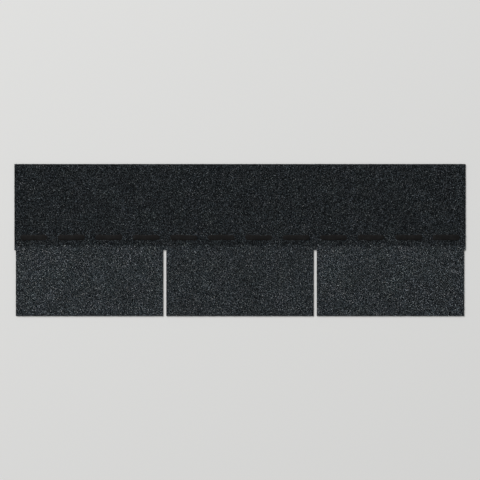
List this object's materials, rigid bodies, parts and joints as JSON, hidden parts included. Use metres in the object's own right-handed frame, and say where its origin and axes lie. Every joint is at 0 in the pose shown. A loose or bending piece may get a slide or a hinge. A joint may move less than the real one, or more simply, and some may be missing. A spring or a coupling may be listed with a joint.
{
  "type": "three-tab asphalt shingle",
  "caption": "Flat granule-faced roofing strip with tabs parted by narrow slots, a row of self-sealing adhesive dashes above them and a release tape on its back.",
  "frame": {"origin": "under the middle of the strip, on the plane of its back", "axes": "+X along the strip, +Y from the butt edge of the tabs up to the top edge, +Z out of the granule face"},
  "size_m": [1, 0.337, 0.004],
  "materials": {
    "granule_sheet": "rough mineral granules in a charcoal blend",
    "adhesive": "glossy black asphalt adhesive",
    "tape_film": "thin clear plastic film over asphalt, slightly wrinkled"
  },
  "bodies": {
    "root": {"shingle": "granule_sheet", "sealant_strip": "adhesive", "release_tape": "tape_film"}
  },
  "joints": []
}
